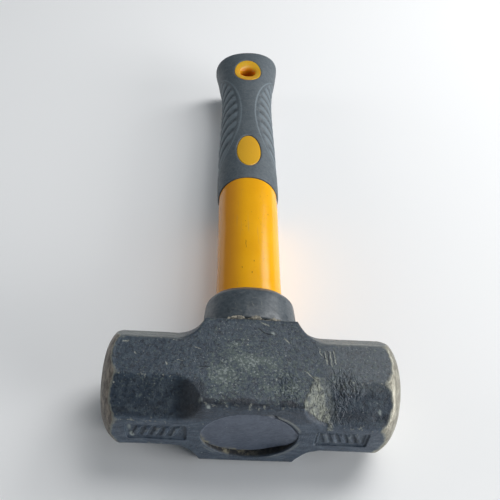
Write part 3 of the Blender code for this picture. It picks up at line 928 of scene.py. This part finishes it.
def head_material():
    n = Nodes("worn_paint_on_steel")
    rim, edge, dust, powder = (n.attribute(k) for k in ("rim", "edge", "dust", "powder"))
    pit, crinkle, chip, wear_and_sheen = (n.attribute(k) for k in ("pit", "crinkle", "chip", "wear_and_sheen"))
    x, y, z = n.position()
    top = n.span(z, 35.6 * MM, 36.8 * MM)
    cloud = n.noise(75, 4, 0.6)
    mottle = n.noise(420, 5, 0.7)
    grain = n.noise(1050, 4, 0.7)
    fine = n.noise(2300, 3, 0.6)

    colour = n.mix(n.span(cloud, 0.35, 0.7), (0.022, 0.036, 0.056), (0.036, 0.054, 0.077))
    colour = n.mix(n.span(mottle, 0.45, 0.70, 0, 0.65), colour, (0.079, 0.107, 0.127))
    dark = n.noise(780, 4, 0.7, shift=(1.0, 6.0, 3.0))
    colour = n.mix(n.span(dark, 0.50, 0.36, 0, 0.90), colour, (0.008, 0.013, 0.023))
    olive = n.plus(grain, n.times(dust, 0.235))
    olive = n.span(olive, 0.575, 0.70, 0, 0.85)
    colour = n.mix(olive, colour, (0.103, 0.129, 0.118))
    pale = n.noise(1250, 3, 0.7, shift=(4.0, 1.0, 2.0))
    pale = n.plus(pale, n.times(dust, 0.145))
    pale = n.span(pale, 0.635, 0.75, 0, 0.85)
    colour = n.mix(pale, colour, (0.250, 0.280, 0.275))
    flecks = n.span(n.cells(300), 0.13, 0.06)
    flecks = n.times(flecks, n.span(n.noise(90, 2, 0.5), 0.52, 0.62))
    colour = n.mix(n.times(flecks, 0.8), colour, (0.36, 0.37, 0.34))

    # the end facet, painted lighter and bluer as if lit from the front, and the scruffy band
    # between it and the cheek
    facet = n.span(y, -17.6 * MM, -18.6 * MM)
    colour = n.mix(n.times(facet, 0.42), colour, (0.062, 0.088, 0.130))
    scruff = n.span(y, -14 * MM, -16.5 * MM)
    scruff = n.times(n.span(z, 27.5 * MM, 31 * MM), scruff)
    drag = n.noise(420, 5, 0.7, stretch=(0.35, 1.0, 1.0))
    for mask, low, high, most, tone in (
        (scruff, 0.40, 0.58, 0.85, (0.009, 0.012, 0.020)),
        (scruff, 0.42, 0.32, 0.30, (0.160, 0.180, 0.190)),
        (facet, 0.50, 0.62, 0.45, (0.115, 0.145, 0.180)),
        (facet, 0.46, 0.36, 0.55, (0.010, 0.015, 0.024)),
    ):
        colour = n.mix(n.times(mask, n.span(drag, low, high, 0, most)), colour, tone)

    # worn edges, chips, painted shade on the left-hand poll and its scoop, and the powdery right
    # scoop
    chips = n.math("SUBTRACT", n.noise(620, 4, 0.65), n.times(edge, 0.11))
    chips = n.span(chips, 0.54, 0.62, 0, 0.7)
    colour = n.mix(chips, colour, (0.23, 0.24, 0.21))
    # lighter where the paint is rubbed, and painted sheen and highlight where head_masks puts them
    colour = n.mix(wear_and_sheen, colour, (0.24, 0.25, 0.23))
    colour = n.mix(n.times(chip, 0.8), colour, (0.34, 0.38, 0.36))
    # painted shade on the left-hand poll and its scoop
    colour = n.mix(n.times(n.attribute("shade"), 0.72), colour, (0.006, 0.010, 0.018))
    soft = n.times(powder, n.span(mottle, 0.30, 0.58, 0.15, 1.0))
    soft = n.times(soft, n.span(grain, 0.30, 0.6, 0.45, 1.0))
    colour = n.mix(soft, colour, (0.242, 0.255, 0.213))

    # scrapes and gouges on the upper cheek
    scrape = n.largest([n.stroke(a, b, w, k * 1.7) for k, (a, b, w) in enumerate(SCRAPES)])
    scrape = n.times(n.times(scrape, top), n.span(fine, 0.35, 0.5))
    gouge = n.largest([n.stroke(a, b, w, 40 + k * 1.7) for k, (a, b, w) in enumerate(GOUGES)])
    gouge = n.times(gouge, top)
    colour = n.mix(n.times(gouge, 0.8), colour, (0.012, 0.014, 0.018))
    colour = n.mix(n.times(scrape, 0.8), colour, (0.36, 0.37, 0.32))

    # painted shade in the mouth of the eye, with dirt towards its left
    dirt = n.span(mottle, 0.45, 0.65)
    dirt = n.times(dirt, n.span(x, 7 * MM, -10 * MM, 0.15, 1.0))
    hollow = n.mix(dirt, (0.012, 0.014, 0.018), (0.210, 0.195, 0.140))
    colour = n.mix(pit, colour, hollow)

    # bare steel on the turned faces, with a ragged paint line; the left-hand face is rust-tinted
    # and painted darker as shade
    ragged = n.math("MULTIPLY_ADD", n.noise(300, 4, 0.6), 1.6, -0.8)
    ragged = n.plus(ragged, n.math("MULTIPLY_ADD", grain, 0.5, -0.25))
    reach = n.plus(n.plus(rim, ragged), n.span(x, 30 * MM, 45 * MM, 0, 0.5))
    bare = n.span(reach, -0.05, 0.20)
    lip = n.span(n.math("ABSOLUTE", reach), 0.45, 0.1)
    # rust with painted shade: the left-hand face is browner and darker
    rust_and_shade = n.span(x, 5 * MM, -5 * MM)
    streak = n.noise(240, 5, 0.65, stretch=(3.0, 1.0, 1.0))
    steel = n.mix(n.span(streak, 0.35, 0.7), (0.20, 0.19, 0.155), (0.44, 0.42, 0.35))
    brown = n.mix(n.span(streak, 0.35, 0.7), (0.045, 0.036, 0.028), (0.228, 0.194, 0.156))
    steel = n.mix(rust_and_shade, steel, brown)
    colour = n.mix(bare, colour, steel)
    colour = n.mix(n.times(lip, 0.45), colour, (0.33, 0.33, 0.27))

    rough = n.span(mottle, 0.3, 0.7, 0.36, 0.58)
    rough = n.blend(n.largest([soft, olive, pit]), rough, 0.85)
    rough = n.blend(bare, rough, n.span(fine, 0.3, 0.7, 0.34, 0.52))
    metal = n.times(bare, n.blend(rust_and_shade, 0.75, 0.25))

    cast = n.plus(n.times(mottle, 0.55), n.times(grain, 0.3))
    cast = n.plus(cast, n.times(fine, 0.12))
    normal = n.bump(cast, 0.65, 0.95)
    folds = n.noise(520, 2, 0.5, stretch=(1.0, 0.55, 1.0), distortion=1.4)
    normal = n.bump(n.times(n.span(folds, 0.35, 0.65), crinkle), 0.9, 1.0, normal)
    dents = n.plus(n.times(scrape, 0.4), gouge)
    normal = n.bump(dents, -0.35, 0.9, normal)
    normal = n.bump(bare, -0.15, 0.7, normal)
    return n.finish(base_color=colour, roughness=rough, metallic=metal, normal=normal)


def resin_material():
    n = Nodes("cast_epoxy")
    cloud = n.noise(140, 4, 0.6)
    colour = n.mix(n.span(cloud, 0.35, 0.7), (0.048, 0.063, 0.094), (0.072, 0.090, 0.126))
    specks = n.span(n.cells(330), 0.10, 0.04)
    colour = n.mix(n.times(specks, 0.5), colour, (0.28, 0.29, 0.30))
    edge = n.attribute("dirt")
    colour = n.mix(edge, colour, (0.24, 0.225, 0.165))
    rough = n.span(n.noise(500, 3, 0.5), 0.3, 0.7, 0.34, 0.5)
    rough = n.blend(edge, rough, 0.9)
    fine = n.noise(1000, 3, 0.65, shift=(3.0, 0.0, 0.0))
    colour = n.mix(n.span(fine, 0.3, 0.7, 0, 0.30), colour, (0.150, 0.175, 0.215))
    normal = n.bump(n.noise(700, 3, 0.6), 0.20, 0.7)
    return n.finish(base_color=colour, roughness=rough, normal=normal)


def grit_material():
    n = Nodes("resin_and_grit")
    t = n.noise(700, 4, 0.7)
    colour = n.mix(n.span(t, 0.35, 0.65), (0.07, 0.072, 0.070), (0.36, 0.33, 0.26))
    normal = n.bump(n.noise(1500, 3, 0.6), 0.4, 1.0)
    return n.finish(base_color=colour, roughness=0.85, normal=normal)


def yellow_material(name="yellow_plastic"):
    n = Nodes(name)
    cloud = n.noise(60, 3, 0.5)
    colour = n.mix(n.span(cloud, 0.3, 0.7), (0.775, 0.360, 0.006), (0.825, 0.396, 0.008))
    grime_and_shade = n.span(n.noise(260, 5, 0.65), 0.56, 0.80, 0, 0.22)
    colour = n.mix(grime_and_shade, colour, (0.42, 0.22, 0.03))
    spots = n.times(n.span(n.cells(260), 0.055, 0.025), 0.8)
    colour = n.mix(spots, colour, (0.16, 0.10, 0.03))
    lines = n.span(n.noise(900, 2, 0.4, stretch=(1.0, 0.05, 1.0)), 0.66, 0.72, 0, 0.35)
    colour = n.mix(lines, colour, (0.55, 0.30, 0.06))
    if name != "yellow_plastic":
        colour = n.mix(0.45, colour, (0.48, 0.325, 0.045))
    else:
        x, _, z = n.position()
        marks = n.largest([n.stroke(a, b, w, k * 1.3) for k, (a, b, w) in enumerate(SPECKS)])
        marks = n.times(marks, n.span(z, 19 * MM, 21 * MM, 0, 0.85))
        colour = n.mix(marks, colour, (0.075, 0.035, 0.010))
        # painted shade: the jacket's left-hand side is painted browner and darker
        left_side_shade = n.span(x, -1 * MM, -10 * MM, 0, 0.75)
        colour = n.mix(left_side_shade, colour, (0.60, 0.225, 0.022))
    # painted shade deep in the hang hole
    colour = n.mix(n.times(n.attribute("grime_and_shade"), 0.7), colour, (0.62, 0.20, 0.004))
    rough = n.span(n.noise(300, 4, 0.6), 0.3, 0.7, 0.13, 0.22)
    normal = n.bump(n.noise(160, 2, 0.5), 0.10, 0.5)
    normal = n.bump(n.noise(1800, 2, 0.5), 0.02, 0.5, normal)
    if name == "yellow_lining":
        n.finish(subsurface_weight=0.5, subsurface_scale=0.006)
    return n.finish(base_color=colour, roughness=rough, normal=normal, specular_ior_level=0.25)


def soft_material(name, dark, light, scuff, gloss=0.0):
    n = Nodes(name)
    cloud = n.noise(70, 4, 0.6)
    colour = n.mix(n.span(cloud, 0.3, 0.72), dark, light)
    groove = n.attribute("groove")
    # painted highlight on the crests and along the window border, painted shade in the grooves
    colour = n.mix(n.span(groove, 0.0, -0.8, 0, 0.60), colour, tuple(2.4 * c for c in light))
    colour = n.mix(n.span(groove, 0.0, 1.0, 0, 0.8), colour, tuple(0.35 * c for c in dark))
    smear = n.span(n.noise(240, 5, 0.7, stretch=(1.0, 0.6, 1.0)), 0.58, 0.78, 0, scuff)
    colour = n.mix(smear, colour, (0.22, 0.23, 0.21))
    dots = n.times(n.span(n.cells(420), 0.075, 0.03), scuff)
    colour = n.mix(dots, colour, (0.30, 0.30, 0.27))
    fine = n.noise(850, 3, 0.65, shift=(5.0, 0.0, 0.0))
    colour = n.mix(n.span(fine, 0.32, 0.68, 0, 0.38), colour, (0.135, 0.155, 0.170))
    stain = n.span(n.noise(300, 3, 0.6), 0.48, 0.30, 0, 0.35)
    colour = n.mix(stain, colour, tuple(0.55 * c for c in dark))
    if gloss:
        marks = n.largest([n.stroke(a, b, w, k * 2.3) for k, (a, b, w) in enumerate(SCUFFS)])
        marks = n.times(marks, n.span(n.noise(900, 2, 0.5), 0.35, 0.6))
        colour = n.mix(n.times(marks, 0.4), colour, (0.24, 0.25, 0.23))
    rough = n.span(n.noise(380, 4, 0.6), 0.3, 0.7, 0.48 - gloss, 0.66 - gloss)
    normal = n.bump(n.noise(900, 2, 0.5), 0.10, 0.6)
    normal = n.bump(n.noise(140, 2, 0.5), 0.12, 0.5, normal)
    return n.finish(base_color=colour, roughness=rough, normal=normal)


def rod_material():
    n = Nodes("glass_fibre")
    fibres = n.noise(1400, 3, 0.6, stretch=(1.0, 0.03, 1.0))
    colour = n.mix(n.span(fibres, 0.35, 0.65), (0.46, 0.40, 0.24), (0.62, 0.56, 0.36))
    normal = n.bump(fibres, 0.08, 0.7)
    return n.finish(base_color=colour, roughness=0.6, normal=normal)


def floor_material():
    n = Nodes("pale_floor")
    colour = n.mix(n.noise(3, 2, 0.5), (0.90, 0.90, 0.90), (0.92, 0.92, 0.92))
    return n.finish(base_color=colour, roughness=0.8)


# ------------------------ assembly


def fit(ob, material, slot, *nodes):
    ob.data.materials.clear()
    ob.data.materials.append(material)
    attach(ob, "root")
    if nodes:
        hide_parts(*nodes)
    return ob


def settle(ob):
    """Moves a handle piece over by the drift of the mouldings."""
    p = place(drift(coordinates(ob)))
    ob.data.vertices.foreach_set("co", p.astype(np.float32).ravel())
    ob.data.update()
    return ob


def dress():
    paintwork = head_material()
    steel = head()
    head_masks(steel)
    fit(steel, paintwork, "head", "head")
    for name, panel, seed in (("panel_left", PANELS[0], 110), ("panel_right", PANELS[1], 130)):
        fit(marked_panel(name, panel, seed), paintwork, "head")

    cast = resin()
    paint_dirt(cast)
    fit(cast, resin_material(), "eye_resin", "eye_resin")
    fit(settle(squeeze_out()), grit_material(), "eye_resin")

    sleeve = settle(collar())
    paint(sleeve, "groove", np.zeros(len(sleeve.data.vertices)))
    dark, light = (0.036, 0.048, 0.060), (0.056, 0.069, 0.079)
    fit(sleeve, soft_material("collar_plastic", dark, light, 0.55, 0.20), "collar", "collar")

    yellow = yellow_material()
    fit(settle(shaft()), yellow, "handle_jacket", "handle_jacket")
    dusty = yellow_material("yellow_pads")
    fit(settle(pad("pad_front", 1)), dusty, "handle_jacket")
    fit(settle(pad("pad_back", -1)), dusty, "handle_jacket")
    ring = settle(eyelet())
    paint_throat(ring)
    fit(ring, yellow_material("yellow_lining"), "handle_jacket")

    cover = grip()
    paint(cover, "groove", groove_at(coordinates(cover), loft_rows(GRIP, *GRIP_GRID)))
    settle(cover)
    dark, light = (0.056, 0.074, 0.088), (0.071, 0.089, 0.101)
    fit(cover, soft_material("grip_plastic", dark, light, 0.22), "grip", "grip")

    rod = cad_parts["core_rod"]
    rod.data.materials.clear()
    rod.data.materials.append(rod_material())


def paint_dirt(ob):
    """Grit along the lower left edge of the potting."""
    p = coordinates(ob)
    eye_x, eye_z = eye_section(p[:, 1])
    near = np.hypot(p[:, 0] / eye_x, p[:, 2] / eye_z)
    low = ease(3.0, -5.0, p[:, 2]) * ease(6.0, -6.0, p[:, 0])
    dirt = ease(0.88, 0.98, near + 0.07 * noise(p, 1.3, 63)) * low
    paint(ob, "dirt", dirt * ease(-0.5, 0.4, noise(p, 0.9, 64) + 0.4))


def paint_throat(ob):
    """Painted shade darkens the hang hole deep under the grip's skin."""
    p = coordinates(ob)
    skin_z = grip_height(np.clip(p[:, 0], -8, 8), p[:, 1])
    near = np.hypot(p[:, 0] / 5.4, (p[:, 1] - EYELET[0]) / 5.8)
    paint(ob, "grime_and_shade", ease(1.15, 0.85, near) * ease(0.7, 2.4, skin_z - np.abs(p[:, 2])))


def groove_at(points, rows):
    """How deep each point lies in the grooves as painted shade, with painted highlight on the
    crests and border, read from the nearest point of the grid.
    """
    _, groove = grip_relief(rows)
    ys = rows[:, 0, 1]
    row = np.clip(np.searchsorted(ys, points[:, 1]), 0, len(ys) - 1)
    hx, hz = grip_section(points[:, 1])
    a = np.abs(points[:, 2] / hz) ** (POWER / 2)
    b = np.abs(points[:, 0] / hx) ** (POWER / 2)
    angle = np.arctan2(a, b)
    col = np.round(angle / (2 * np.pi) * rows.shape[1]).astype(int)
    return groove[row, col]


# studio discs: degrees round from straight ahead toward the right, degrees up, watts
LIGHT_SIZE = 0.6  # metres across
LIGHT_REACH = 1.1  # metres from AIM
AIM = Vector((0.0, 0.06, 0.02))
LIGHTS = (
    (125, 12, 7.3),
    (100, 15, 4.0),
    (50, 35, 4.6),
    (50, 60, 2.6),
    (25, 65, 2.3),
    (-85, 16, 2.0),
)


def disc(turn, rise, power):
    data = bpy.data.lights.new("disc", "AREA")
    data.shape = "DISK"
    data.size = LIGHT_SIZE
    data.energy = power
    ob = add_object("disc", data)
    turn, rise = math.radians(turn), math.radians(rise)
    flat = math.cos(rise)
    way = Vector((math.sin(turn) * flat, math.cos(turn) * flat, math.sin(rise)))
    ob.location = AIM + LIGHT_REACH * way
    ob.rotation_euler = way.to_track_quat("Z", "Y").to_euler()


FLOOR_HALF = 6  # metres
WORLD_COLOUR = (0.70, 0.86, 1.0, 1.0)
WORLD_STRENGTH = 0.11
CAMERA_PLACE = (-0.0146, -0.1229, 0.2068)
CAMERA_TURN = (45.83, -2.96, 0.96)  # degrees
CAMERA_LENS = 43.2  # millimetres, on a sensor 36 wide
CAMERA_SHIFT = (0.041, 0.0074)


def stage():
    scene = bpy.context.scene
    h = FLOOR_HALF
    corners = [(-h, -h, 0), (h, -h, 0), (h, h, 0), (-h, h, 0)]
    mesh = bpy.data.meshes.new("floor")
    mesh.from_pydata(corners, [], [(0, 1, 2, 3)])
    floor = add_object("floor", mesh)
    mesh.materials.append(floor_material())

    world = bpy.data.worlds.new("studio")
    scene.world = world
    world.use_nodes = True
    back = world.node_tree.nodes["Background"]
    back.inputs[0].default_value = WORLD_COLOUR
    back.inputs[1].default_value = WORLD_STRENGTH
    for light in LIGHTS:
        disc(*light)

    camera = bpy.data.cameras.new("camera")
    ob = add_object("camera", camera)
    ob.location = CAMERA_PLACE
    ob.rotation_euler = [math.radians(a) for a in CAMERA_TURN]
    camera.sensor_width = 36.0
    camera.lens = CAMERA_LENS
    camera.shift_x, camera.shift_y = CAMERA_SHIFT
    camera.clip_start = 0.01
    scene.camera = ob
    scene.view_settings.view_transform = "Standard"


dress()
stage()
